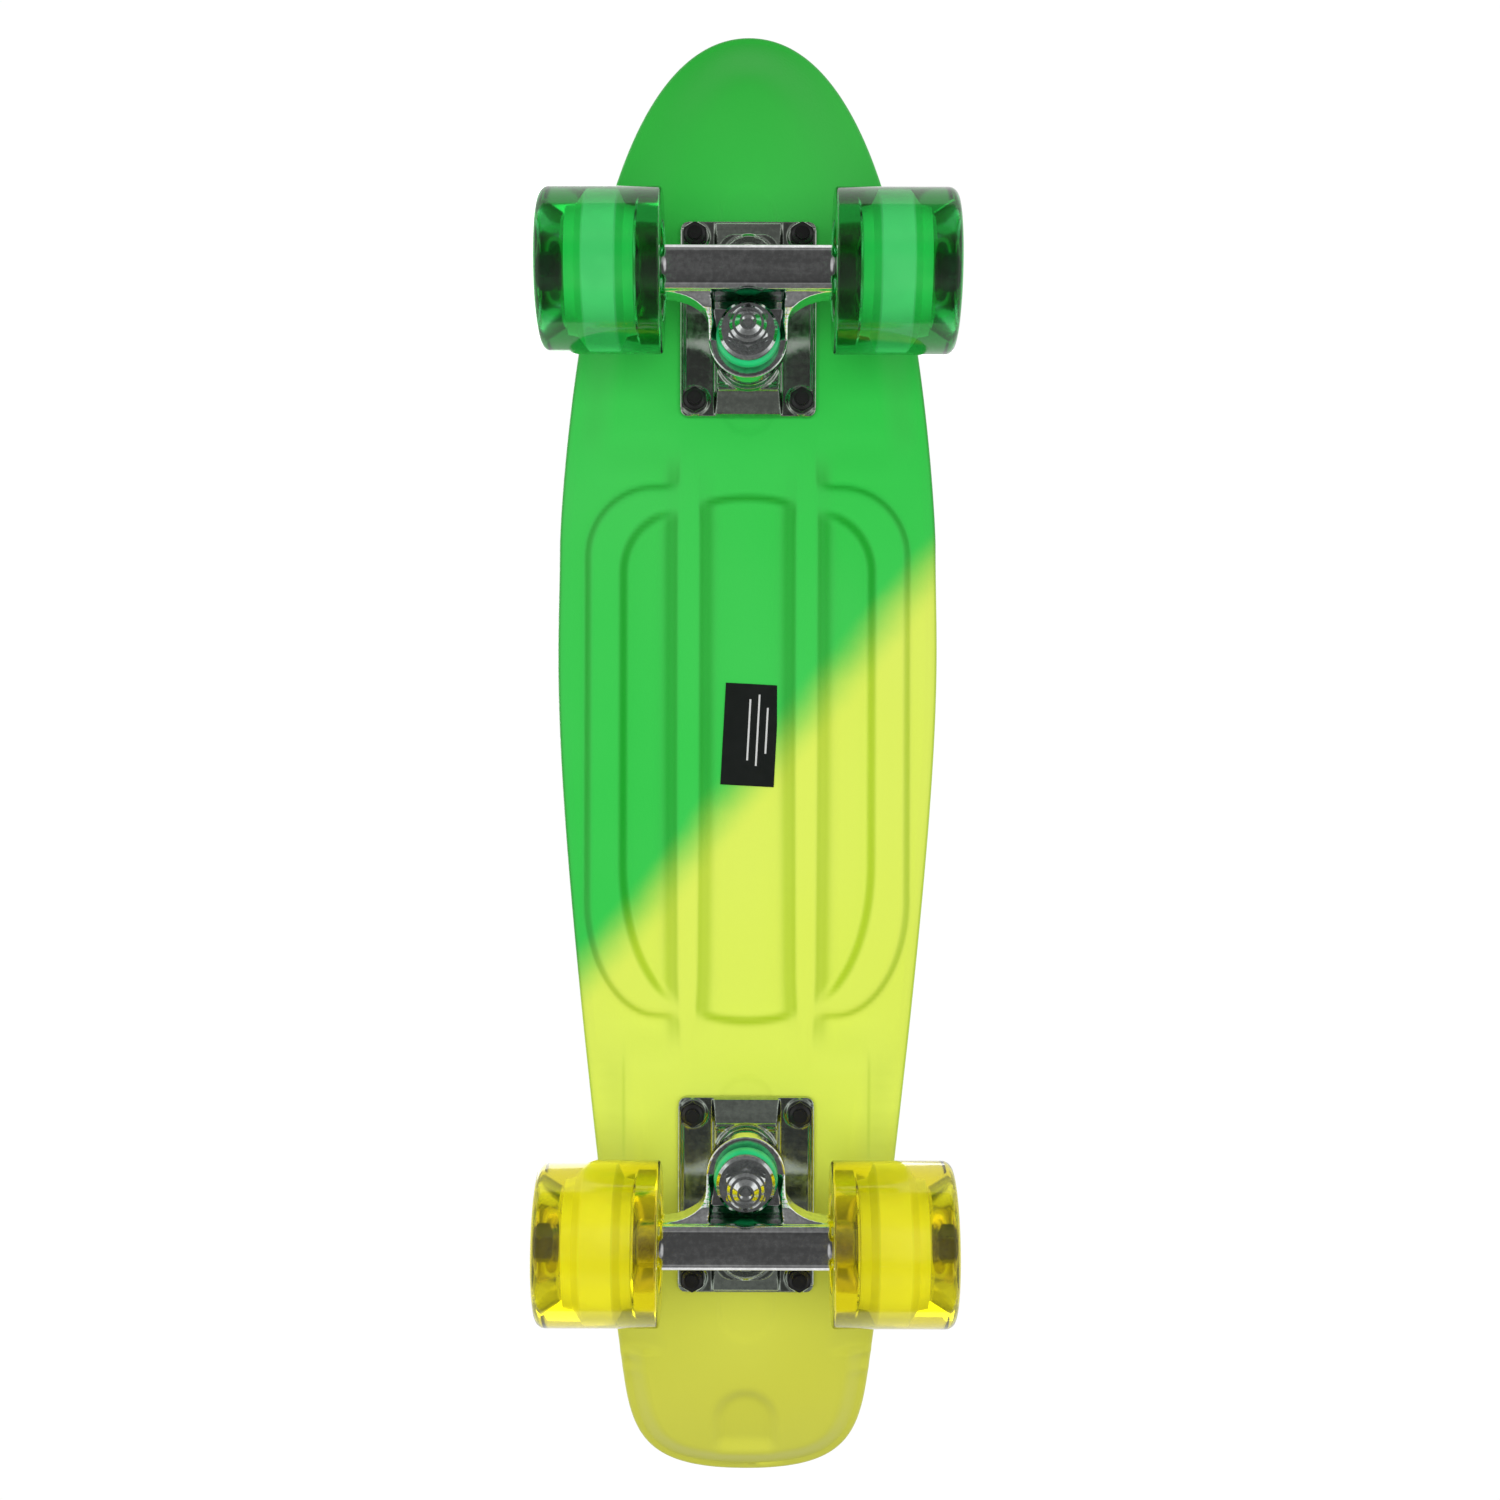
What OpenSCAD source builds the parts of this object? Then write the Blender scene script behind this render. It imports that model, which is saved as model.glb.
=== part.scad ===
// Moulded plastic cruiser skateboard, 22 inch class.
// Wheels down, +Z up, +X towards the nose, origin on the ground under the middle of the board.

/* [Deck] */
// Length of the deck from nose to tail
deck_l = 576; // [470:1:690]
// Width of the deck at its widest
deck_w = 149; // [122:1:180]
// Thickness of the deck on the truck pads and ribs
deck_t = 12; // [10:0.5:15]
// Thickness of the shell at the rim and in the pockets
shell_t = 6.5; // [5:0.5:8]
// Rise of the nose above the flat
nose_rise = 20; // [12:1:28]
// Rise of the tail above the flat
tail_rise = 17; // [12:1:28]
// Width of the flat top of a long rib
rib_w = 9; // [6:0.5:12]
// Distance between the centres of the two long ribs
rib_gap = 46; // [40:1:52]
// Depth of the thumb scoop under the tail
scoop_depth = 3; // [1:0.5:4]

/* [Label] */
// Length of the label
label_l = 40; // [30:1:50]
// Width of the label
label_w = 21; // [15:1:25]
// Turn of the label on the deck
label_turn = 3; // [0:0.5:5]

/* [Trucks] */
// Distance between the two axles
wheelbase = 352; // [300:0.5:420]
// Height of the truck pad above the axle centre
axle_drop = 50; // [46:0.5:60]
// Baseplate length
plate_l = 75.4; // [72:0.2:92]
// Baseplate width
plate_w = 52.5; // [50:0.5:64]
// Baseplate flange thickness
plate_t = 4; // [3:0.5:6]
// Bolt spacing along the board
bolt_x = 63.5; // [60:0.5:66]
// Bolt spacing across the board
bolt_y = 41.3; // [38:0.1:44]
// Mounting bolt diameter
bolt_d = 4.8; // [4:0.1:5.5]
// Lean of the kingpin towards the axle
kingpin_lean = 3; // [0:1:10]
// Kingpin diameter
kingpin_d = 9.5; // [8:0.1:10.5]
// Outer diameter of the hanger ring
ring_d = 29; // [28:0.5:34]
// Widest diameter of a bushing
bushing_d = 23.5; // [21:0.5:26]
// Height of the board-side bushing
board_bushing_h = 19; // [16:0.5:22]
// Height of the road-side bushing
road_bushing_h = 13; // [11:0.5:16]
// Length of the hanger over its two end bosses
hanger_l = 80; // [72:1:100]
// Length of the square part of the hanger bar
bar_l = 62; // [54:1:70]
// Diameter of the hanger end bosses
boss_d = 17.2; // [14:0.2:19]

/* [Wheels] */
// Tyre diameter
wheel_d = 59; // [49:0.5:71]
// Tyre width
wheel_w = 44; // [40:0.5:52]
// Rounding of the tyre's outer edge
tyre_round = 3.5; // [2:0.5:8]
// Rounding of the tyre's inner edge
tyre_inner_round = 1; // [0.5:0.5:5]
// Height of the core flange above its shoulders
core_flange_h = 4; // [2:0.5:5]
// Width of the core flange
core_flange_w = 12; // [6:0.5:13]
// Wall of the core round the bearings
core_wall = 4; // [3:0.5:5]

/* [Bearings] */
// Axle diameter
axle_d = 8; // [7:0.1:8.5]
// Bearing outer diameter
bearing_d = 22; // [21:0.1:26.5]
// Bearing width
bearing_w = 7; // [6:0.1:8]
// Length of the spacer between the two bearings
spacer_l = 10; // [8:0.5:12]
// Ball diameter
ball_d = 3.6; // [3:0.1:3.7]
// Number of balls in a bearing
ball_n = 7; // [5:1:8]

/* [Fits] */
// Gap between a ball and the ring tracks
track_gap = 0.15; // [0.1:0.01:0.2]
// Gap between a shield and the inner ring
shield_gap = 0.3; // [0.2:0.05:0.5]
// Gap round the pivot ball in its cup
pivot_gap = 0.3; // [0.2:0.05:0.5]
// Gap round the kingpin in the hanger ring
ring_gap = 1.8; // [1.6:0.1:2.2]
// Gap round the mounting bolts
bolt_gap = 0.2; // [0.1:0.05:0.4]

/* [Hidden] */
$fn = 96;
e = 0.01;
len_k = deck_l / 576;
mid_l = wheelbase / 352;
mid_w = deck_w / 149;
pad_z = wheel_d / 2 + axle_drop;
truck_shift = -2.1;
axle_out = 6.5;
truck_x = wheelbase / 2 - axle_out;
rim_w = 9;
recess_w = 28;

// kingpin stack, measured along the kingpin from the truck pad
king_x = -17.3;
seat_t = 12;
washer_t = 1.5;
web_t = 4;
seat_depth = 2;
board_top = seat_t + washer_t;
web_top = board_top + board_bushing_h;
web_low = web_top + web_t;
road_top = web_low + road_bushing_h;
nut_top = road_top + washer_t;
nut_h = 8;
king_end = nut_top + nut_h + 2;
seat_r = 9.5;
ring_mid = web_top + web_t / 2;

// pivot ball centre, out from the baseplate centre and down from the pad
pivot_x = 19;
pivot_down = 13;
pivot_r = 5;
cup_r = 7.6;
spine_w = 24;
stem_lean = atan2(pivot_x - axle_out, axle_drop - pivot_down);
stem_l = norm([pivot_x - axle_out, axle_drop - pivot_down]);

// wheel stations along the axle
boss_end = hanger_l / 2;
speed_t = 1;
core_l = 2 * bearing_w + spacer_l;
core_d = bearing_d + 2 * core_wall;
core_flange_d = core_d + 2 * core_flange_h;
wheel_y = boss_end + speed_t + core_l / 2;
nut_from = wheel_y + core_l / 2 + speed_t;
axle_nut_h = 6.5;
axle_end = nut_from + axle_nut_h + 2;
recess_in = bearing_d / 2 + 2;
recess_out = bearing_d / 2 + 8;
inner_land = axle_d / 2 + 2.1;
outer_land = bearing_d / 2 - 2;
pitch_r = (axle_d + bearing_d) / 4;
track_r = ball_d / 2 + track_gap;

// ---- curves ----
function curve(a, b, c, d, n) = [for (i = [0 : n - 1]) let (t = i / n, s = 1 - t)
  s * s * s * a + 3 * s * s * t * b + 3 * s * t * t * c + t * t * t * d];
function half_outline() = concat(
  curve([288, 0], [288, 64], [93, 74], [81, 74], 22),
  curve([81, 74], [28, 74], [16, 80.4], [-247, 48.2], 16),
  curve([-247, 48.2], [-273.4, 45], [-288, 38.9], [-288, 0], 14),
  [[-288, 0]]);
function flip(p) = [for (i = [len(p) - 2 : -1 : 1]) [p[i][0], -p[i][1]]];
function rise(x) = x > 200 ? nose_rise * pow((x - 200) / 88, 2)
  : (x < -205 ? tail_rise * pow((x + 205) / 83, 2) : 0);

module outline(inset) {
  sx = (deck_l - 2 * inset) / 576;
  sy = (deck_w - 2 * inset) / 149;
  p = half_outline();
  scale([sx, sy]) polygon(concat(p, flip(p)));
}

// solid between two heights that follow the board's side curve
module side_band(top, low, x0, x1) {
  n = 36;
  up = [for (i = [0 : n]) let (x = x0 + (x1 - x0) * i / n) [x * len_k, rise(x) + top]];
  dn = [for (i = [n : -1 : 0]) let (x = x0 + (x1 - x0) * i / n) [x * len_k, rise(x) + low]];
  rotate([90, 0, 0]) linear_extrude(height = deck_w + 20, center = true) polygon(concat(up, dn));
}

// closed pocket outline on one side of the board
function pocket(x0, x1, y0, y1, r0, r1) = concat(
  [[x0, y0], [x1, y0]],
  [for (i = [0 : 6]) let (t = i * 15) [x1 - r1 + r1 * cos(t), y1 - (y1 - y0) * 0.75 * (1 - sin(t))]],
  [for (i = [0 : 6]) let (t = i * 15) [x0 + r0 - r0 * sin(t), y1 - (y1 - y0) * 0.75 * (1 - cos(t))]]);

module ribs() {
  rib_end = 123;
  for (s = [-1, 1])
    scale([mid_l, mid_w]) linear_extrude(height = deck_t - e)
      polygon([[-rib_end - 10, s * rib_gap / 2 - 1], [-70, s * rib_gap / 2 - rib_w / 2 + 1],
        [70, s * rib_gap / 2 - rib_w / 2], [rib_end + 6, s * rib_gap / 2 - 1],
        [rib_end + 6, s * rib_gap / 2 + 1], [70, s * rib_gap / 2 + rib_w / 2],
        [-70, s * rib_gap / 2 + rib_w / 2 - 1], [-rib_end - 10, s * rib_gap / 2 + 1]]);
}

module side_ribs() {
  for (s = [-1, 1])
    scale([mid_l, s * mid_w]) linear_extrude(height = deck_t - 1.5)
      difference() {
        polygon(pocket(-106, 106, 29, 62, 44, 32));
        polygon(pocket(-95, 95, 20, 50.5, 44, 22));
      }
}

module deck_under() {
  ramp = 110;
  lower = deck_t - 3;
  rotate([90, 0, 0]) linear_extrude(height = deck_w + 20, center = true) polygon([
    [-deck_l, 0], [deck_l, 0], [deck_l, deck_t], [(ramp + 20) * mid_l, deck_t],
    [ramp * mid_l, lower], [-ramp * mid_l, lower], [(-ramp - 20) * mid_l, deck_t],
    [-deck_l, deck_t]]);
}

module deck_block() {
  intersection() {
    linear_extrude(height = pad_z + 60) outline(0);
    translate([0, 0, pad_z]) side_band(deck_t, deck_t - shell_t, -300, 300);
  }
  intersection() {
    linear_extrude(height = pad_z + 60) outline(rim_w);
    translate([0, 0, pad_z]) side_band(deck_t - 1, 0, -300, 300);
    union() {
      translate([-deck_l / 2, -deck_w / 2, pad_z + shell_t - 3]) cube([deck_l, deck_w, 60]);
      translate([0, 0, pad_z + deck_t]) mirror([0, 0, 1]) {
        ribs();
        side_ribs();
        difference() {
          deck_under();
          for (s = [-1, 1])
            scale([mid_l, s * mid_w]) linear_extrude(height = 60)
              polygon(pocket(-95, 95, rib_gap / 2, 50.5, 44, 22));
        }
      }
      for (s = [-1, 1]) translate([s * (125 * mid_l + deck_l / 2), 0, pad_z + 30])
        cube([deck_l, deck_w, 60], center = true);
    }
  }
}

module deck() color("limegreen")
  difference() {
    deck_block();
    // recessed middle panel
    translate([0, 0, pad_z - 20]) linear_extrude(height = 20 + deck_t - shell_t + 0.5)
      for (m = [0, 1]) mirror([m, 0]) scale([mid_l, 1])
        polygon([[-1, -recess_w / 2], [94, -recess_w / 2], [99, -10], [101, 0], [99, 10],
          [94, recess_w / 2], [-1, recess_w / 2]]);
    // shallow stadium under each baseplate
    for (s = [-1, 1]) translate([truck_shift + s * truck_x, 0, pad_z - 1])
      linear_extrude(height = 1.6)
        for (k = [-1, 1]) {
          translate([k * 40, 0]) circle(d = 21);
          square([80, 21], center = true);
        }
    // thumb scoop under the tail
    intersection() {
      translate([-264 * len_k, 0, 0]) linear_extrude(height = pad_z + 60) {
        translate([0, 0]) circle(d = 27);
        translate([-13, 0]) square([26, 27], center = true);
      }
      translate([0, 0, pad_z]) side_band(scoop_depth, -20, -274, -240);
    }
    bolt_spots() {
      translate([0, 0, -1]) cylinder(d = bolt_d + 2 * bolt_gap, h = deck_t + 2);
      translate([0, 0, deck_t - 2.6]) cylinder(r1 = bolt_d / 2 + bolt_gap, r2 = bolt_d / 2 + 2.6 + bolt_gap, h = 2.6 + e);
    }
  }

module blank_label() color("black")
  translate([6.5 * mid_l, 1, pad_z + deck_t - shell_t + 0.3]) rotate([0, 0, label_turn])
    translate([-label_l / 2, -label_w / 2, 0]) cube([label_l, label_w, 0.2]);

// ---- placing ----
module front() translate([truck_shift + truck_x, 0, pad_z]) children();
module rear() translate([truck_shift - truck_x, 0, pad_z]) mirror([1, 0, 0]) children();
module bolt_spots() {
  for (s = [-1, 1], i = [-1, 1], j = [-1, 1])
    translate([truck_shift + s * truck_x + i * bolt_x / 2, j * bolt_y / 2, pad_z]) children();
}
module four() for (i = [-1, 1], j = [-1, 1]) translate([i * bolt_x / 2, j * bolt_y / 2, 0]) children();
// along the kingpin, +Z now runs from the deck towards the road
module kingline() translate([king_x, 0, 0]) rotate([0, 180 - kingpin_lean, 0]) children();
// along the pivot stem, origin at the ball centre, +Z towards the axle
module stemline() translate([pivot_x, 0, -pivot_down]) rotate([0, 180 + stem_lean, 0]) children();
module along_axle() rotate([-90, 0, 0]) children();
module axle_place() translate([axle_out, 0, -axle_drop]) children();

// ---- truck pieces ----
module plate_outline(w, l, r) {
  for (i = [-1, 1], j = [-1, 1]) translate([i * (l / 2 - r), j * (w / 2 - r)]) circle(r = r, $fn = 32);
  square([l, w - 2 * r], center = true);
  square([l - 2 * r, w], center = true);
}

module baseplate_shape() {
  low = plate_l / 2;
  difference() {
    union() {
      translate([0, 0, -plate_t]) linear_extrude(height = plate_t) plate_outline(plate_w, plate_l, 3);
      // raised spine with a ramp at each end, a lip at the top of the inner ramp, and sloping sides
      intersection() {
        rotate([90, 0, 0]) linear_extrude(height = spine_w + 4, center = true)
          polygon([[-low + 0.5, -plate_t], [-low + 0.5, -plate_t - 1], [-low + 8.6, -10], [-low + 9.2, -11],
            [-low + 10.8, -11], [-low + 11.6, -9.6], [2, -9.6], [pivot_x + 5, -9.6], [low - 1, -plate_t - 1],
            [low - 1, -plate_t], [0, -1]]);
        rotate([90, 0, 90]) linear_extrude(height = plate_l, center = true)
          polygon([[-spine_w / 2 - 1.4, 0], [-spine_w / 2 + 0.4, -12], [spine_w / 2 - 0.4, -12],
            [spine_w / 2 + 1.4, 0]]);
      }
      intersection() {
        kingline() cylinder(r = 12.2, h = seat_t);
        translate([-40, -20, -40]) cube([80, 40, 40]);
      }
      // pivot housing with round corners, and the leaning boss through it
      translate([0, 0, -13]) linear_extrude(height = 12) {
        translate([pivot_x - 12, -spine_w / 2 + 0.2]) square([16, spine_w - 0.4]);
        translate([pivot_x - 12, -5]) square([23.5, 10]);
        for (j = [-1, 1]) translate([pivot_x + 4.7, j * (spine_w / 2 - 7)]) circle(r = 6.8);
      }
      intersection() {
        stemline() translate([0, 0, -16]) cylinder(r = 10.5, h = 21);
        translate([-40, -20, -40]) cube([80, 40, 40]);
      }
      // bolt pads
      four() translate([0, 0, -plate_t - 0.8]) cylinder(r = 5.4, h = 1);
      // flange rim
      translate([0, 0, -plate_t - 0.8]) linear_extrude(height = 1)
        for (j = [-1, 1]) translate([0, j * (plate_w / 2 - 0.8)]) square([plate_l - 6, 1.6], center = true);
    }
    // kingpin hole and head pocket
    kingline() translate([0, 0, -2]) cylinder(d = kingpin_d, h = 30);
    kingline() translate([0, 0, -3]) cylinder(r = 8.2, h = 9);
    // pivot cup pocket
    stemline() translate([0, 0, -7.5]) cylinder(r = cup_r, h = 30);
    four() translate([0, 0, -plate_t - 2]) cylinder(d = bolt_d + 2 * bolt_gap, h = plate_t + 4);
  }
}

module pivot_cup_shape() stemline()
  difference() {
    translate([0, 0, -7.5]) cylinder(r = cup_r, h = 13);
    sphere(r = pivot_r + pivot_gap);
    cylinder(r = pivot_r + pivot_gap, h = 20);
    translate([0, 0, 3]) cylinder(r1 = pivot_r + pivot_gap, r2 = pivot_r + 1.6, h = 2.5 + e);
  }

module kingpin_shape() kingline()
  difference() {
    union() {
      translate([0, 0, 1]) cylinder(r = 8, h = 5);
      translate([0, 0, 3]) cylinder(d = kingpin_d, h = king_end - 4.5);
      translate([0, 0, king_end - 1.5]) cylinder(r1 = kingpin_d / 2, r2 = kingpin_d / 2 - 1.7, h = 1.5);
    }
    translate([0, 0, king_end - 1]) cylinder(r1 = 1.4, r2 = 2.4, h = 1 + e);
  }

module hex_nut(af, h, bore, collar) {
  difference() {
    union() {
      intersection() {
        cylinder(r = af / sqrt(3), h = h - collar, $fn = 6);
        translate([0, 0, -0.2]) cylinder(r1 = af / 2 + 0.4, r2 = af / 2 + 6.4, h = 6);
        translate([0, 0, h - collar - 6]) cylinder(r1 = af / 2 + 6.6, r2 = af / 2 + 0.3, h = 6);
      }
      translate([0, 0, h - collar - e]) cylinder(r = af / 2 - 0.3, h = collar * 0.6 + e);
      translate([0, 0, h - collar * 0.4 - e]) cylinder(r1 = af / 2 - 0.3, r2 = af / 2 - 1.3, h = collar * 0.4 + e);
    }
    translate([0, 0, -1]) cylinder(d = bore, h = h + 2);
  }
}

module kingpin_nut_shape() kingline() translate([0, 0, nut_top]) hex_nut(14, nut_h, kingpin_d, 2.4);

// cup washer lying on z = 0, rim standing up
module cup_washer(out) rotate_extrude()
  polygon([[kingpin_d / 2, 0], [out - 1, 0], [out, 1], [out, 3], [out - 0.7, 3], [seat_r + 0.1, washer_t],
    [kingpin_d / 2, washer_t]]);

module board_washer_shape() kingline() translate([0, 0, seat_t]) cup_washer(seat_r + 1.2);
module road_washer_shape() kingline() translate([0, 0, nut_top]) mirror([0, 0, 1]) cup_washer(seat_r + 1.2);

// barrel bushing standing on z = 0
module barrel(h) rotate_extrude()
  polygon(concat([[kingpin_d / 2, 0], [seat_r, 0], [seat_r, 1.6]],
    [for (i = [0 : 12]) let (t = 15 * i) [seat_r + (bushing_d / 2 - seat_r) * sin(t), 3.2 + (h - 5.6) * (1 - cos(t)) / 2]],
    [[seat_r, h - 1.8], [seat_r, h], [kingpin_d / 2, h]]));

module board_bushing_shape() kingline() translate([0, 0, board_top]) barrel(board_bushing_h);
module road_bushing_shape() kingline() translate([0, 0, road_top]) mirror([0, 0, 1]) barrel(road_bushing_h);

// the hanger seen from below, with a fillet from each arm out to the bar
module hanger_plan(ring_x) {
  half = bar_l / 2;
  arm = ring_d / 2;
  inner = axle_out - 8.5;
  polygon(concat(
    [[axle_out, half], [inner, half]],
    [for (i = [0 : 9]) let (t = i * 10) [inner - 9 + 9 * cos(t), half - (half - arm) * sin(t)]],
    [[ring_x, arm], [ring_x, -arm]],
    [for (i = [9 : -1 : 0]) let (t = i * 10) [inner - 9 + 9 * cos(t), -half + (half - arm) * sin(t)]],
    [[inner, -half], [axle_out, -half]]));
}

module side_slab(w, points) rotate([90, 0, 0]) linear_extrude(height = w, center = true) polygon(points);

module hanger_shape() {
  ring_x = king_x + ring_mid * sin(kingpin_lean);
  ring_down = ring_mid * cos(kingpin_lean);
  difference() {
    union() {
      // ring round the bushings
      kingline() translate([0, 0, web_top - seat_depth]) cylinder(d = ring_d, h = web_t + 2 * seat_depth);
      // arms and their fillets
      intersection() {
        translate([0, 0, -80]) linear_extrude(height = 80) hanger_plan(ring_x);
        side_slab(bar_l + 2, [
          [axle_out + 2, -axle_drop + 6], [axle_out - 6, -axle_drop + 7], [ring_x, -ring_down + 3.6],
          [ring_x, -ring_down - 4.4], [axle_out - 13, -axle_drop - 1.5], [axle_out - 6, -axle_drop - 5.5],
          [axle_out + 2, -axle_drop - 5.5]]);
      }
      // web between the arms, on the board side of the bar
      side_slab(ring_d, [
        [axle_out + 3, -axle_drop + 7], [axle_out - 8.5, -ring_down + 2], [ring_x, -ring_down + 3.6],
        [ring_x, -ring_down - 3], [axle_out - 6, -axle_drop]]);
      axle_place() {
        // bar
        side_slab(bar_l, [[-8, -6.4], [-6.2, -8], [6.2, -8], [8, -6.4], [8, 3], [5, 7.6], [-4, 7.6], [-8, 4]]);
        along_axle() both() translate([0, 0, bar_l / 2 - 1]) cylinder(d = boss_d, h = (hanger_l - bar_l) / 2 + 1);
      }
      // pivot stem
      stemline() sphere(r = pivot_r);
      stemline() cylinder(r = 3.9, h = 12);
      stemline() translate([0, 0, 7]) cylinder(r1 = 3.9, r2 = 8, h = stem_l - 14);
    }
    // bushing seats and kingpin hole
    kingline() translate([0, 0, web_low]) cylinder(r = seat_r + 0.3, h = 30);
    kingline() translate([0, 0, web_low + seat_depth]) cylinder(d = bushing_d + 3.2, h = 40);
    kingline() translate([0, 0, web_top - 30]) cylinder(r = seat_r + 0.3, h = 30);
    kingline() cylinder(d = kingpin_d + 2 * ring_gap, h = 90);
    // deep pocket between the arms, down to the web
    intersection() {
      translate([0, 0, -80]) linear_extrude(height = 80) polygon([
        [ring_x, -ring_d / 2 + 2.3], [axle_out - 8.2, -ring_d / 2 + 1.1],
        [axle_out - 8.2, ring_d / 2 - 1.1], [ring_x, ring_d / 2 - 2.3]]);
      side_slab(ring_d, [[ring_x, -web_low], [axle_out - 10.5, -web_low - 0.5], [axle_out - 8.2, -web_low - 3],
        [axle_out - 8.2, -80], [ring_x, -80]]);
    }
    axle_place() along_axle() cylinder(d = axle_d, h = hanger_l + 2, center = true);
  }
}

module axle_shape() axle_place() along_axle() {
  cylinder(d = axle_d, h = 2 * axle_end - 2, center = true);
  for (m = [0, 1]) mirror([0, 0, m]) translate([0, 0, axle_end - 1 - e])
    cylinder(r1 = axle_d / 2, r2 = axle_d / 2 - 1, h = 1);
}

module both() for (m = [0, 1]) mirror([0, 0, m]) children();

module axle_nuts_shape() axle_place() along_axle() both()
  translate([0, 0, nut_from]) hex_nut(12.7, axle_nut_h, axle_d, 2);

module tube(r_out, r_in, h) difference() {
  cylinder(r = r_out, h = h);
  translate([0, 0, -1]) cylinder(r = r_in, h = h + 2);
}

module speed_washers_shape() axle_place() along_axle() both() {
  translate([0, 0, boss_end]) tube(axle_d / 2 + 1.9, axle_d / 2, speed_t);
  translate([0, 0, nut_from - speed_t]) tube(axle_d / 2 + 1.9, axle_d / 2, speed_t);
}

module spacers_shape() axle_place() along_axle() both()
  translate([0, 0, wheel_y - spacer_l / 2]) tube(axle_d / 2 + 1.6, axle_d / 2, spacer_l);

// the two bearing positions of one wheel, from the wheel's middle
module bearing_spots() for (s = [-1, 1]) translate([0, 0, s * (spacer_l + bearing_w) / 2]) children();

module inner_rings_shape() axle_place() along_axle() both() translate([0, 0, wheel_y]) bearing_spots()
  rotate_extrude() difference() {
    translate([axle_d / 2, -bearing_w / 2]) square([inner_land - axle_d / 2, bearing_w]);
    translate([pitch_r, 0]) circle(r = track_r, $fn = 48);
  }

module mounting_bolts_shape() four() {
  translate([0, 0, -plate_t - 6.5]) cylinder(d = bolt_d, h = plate_t + 6.5 + deck_t - 1);
  difference() {
    translate([0, 0, deck_t - 2.6]) cylinder(r1 = bolt_d / 2, r2 = bolt_d / 2 + 2.4, h = 2.4);
    translate([0, 0, deck_t - 1.6]) cylinder(r = 1.6, h = 3, $fn = 6);
  }
}

module mounting_nuts_shape() four() translate([0, 0, -plate_t - 0.8]) mirror([0, 0, 1])
  hex_nut(8.6, 4.6, bolt_d, 1.2);

// ---- wheel pieces, drawn about the axle with the wheel's middle at 0 ----
module core_outline() polygon([[0, -core_l / 2], [core_d / 2, -core_l / 2],
  [core_d / 2 + 0.5, -core_flange_w / 2 - 2.5], [core_flange_d / 2, -core_flange_w / 2],
  [core_flange_d / 2, core_flange_w / 2], [core_d / 2 + 0.5, core_flange_w / 2 + 2.5],
  [core_d / 2, core_l / 2], [0, core_l / 2]]);

module tyre_shape() {
  r = wheel_d / 2;
  h = wheel_w / 2;
  q = tyre_round;
  k = tyre_inner_round;
  rotate_extrude() difference() {
    polygon(concat(
      [[recess_in, -core_l / 2], [recess_out - 1, -h + 1], [recess_out, -h]],
      [for (i = [0 : 6]) let (t = 15 * i) [r - k + k * sin(t), -h + k - k * cos(t)]],
      [for (i = [0 : 6]) let (t = 15 * i) [r - q + q * cos(t), h - q + q * sin(t)]],
      [[recess_out, h], [recess_out - 1, h - 1], [recess_in, core_l / 2]]));
    core_outline();
  }
}

module core_shape() difference() {
  rotate_extrude() core_outline();
  cylinder(r = bearing_d / 2 - 1.6, h = core_l + 2, center = true);
  bearing_spots() cylinder(d = bearing_d, h = bearing_w + e, center = true);
}

module outer_rings_shape() bearing_spots() rotate_extrude() difference() {
  translate([outer_land, -bearing_w / 2]) square([bearing_d / 2 - outer_land, bearing_w]);
  translate([pitch_r, 0]) circle(r = track_r, $fn = 48);
}

module shields_shape() bearing_spots() for (s = [-1, 1]) translate([0, 0, s * (bearing_w / 2 - 0.45)])
  difference() {
    cylinder(r = outer_land, h = 0.4, center = true);
    cylinder(r = inner_land + shield_gap, h = 2, center = true);
  }

module ball_ring(r) for (i = [0 : ball_n - 1]) rotate([0, 0, i * 360 / ball_n])
  translate([pitch_r, 0, 0]) sphere(r = r, $fn = 48);

module balls_shape() bearing_spots() ball_ring(ball_d / 2);

module cages_shape() bearing_spots() difference() {
  cylinder(r = pitch_r + 0.7, h = ball_d + 1, center = true);
  cylinder(r = pitch_r - 0.7, h = 6, center = true);
  for (i = [0 : ball_n - 1]) rotate([0, 90, i * 360 / ball_n]) cylinder(d = ball_d, h = bearing_d);
}

// wheels are placed by end and side, each with its outer face outwards
module wheel(end, side) translate([truck_shift + end * wheelbase / 2, side * wheel_y, wheel_d / 2])
  along_axle() rotate([0, side > 0 ? 0 : 180, 0]) children();

steel = "silver";
cast = "gray";

module front_baseplate() color(cast) front() baseplate_shape();
module front_pivot_cup() color("ivory") front() pivot_cup_shape();
module front_kingpin() color(steel) front() kingpin_shape();
module front_kingpin_nut() color(steel) front() kingpin_nut_shape();
module front_board_washer() color(steel) front() board_washer_shape();
module front_board_bushing() color("seagreen") front() board_bushing_shape();
module front_road_bushing() color("seagreen") front() road_bushing_shape();
module front_road_washer() color(steel) front() road_washer_shape();
module front_hanger() color(cast) front() hanger_shape();
module front_axle() color(steel) front() axle_shape();
module front_axle_nuts() color(steel) front() axle_nuts_shape();
module front_speed_washers() color(steel) front() speed_washers_shape();
module front_bearing_spacers() color(steel) front() spacers_shape();
module front_inner_rings() color(steel) front() inner_rings_shape();
module front_mounting_bolts() color("black") front() mounting_bolts_shape();
module front_mounting_nuts() color("black") front() mounting_nuts_shape();

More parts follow.
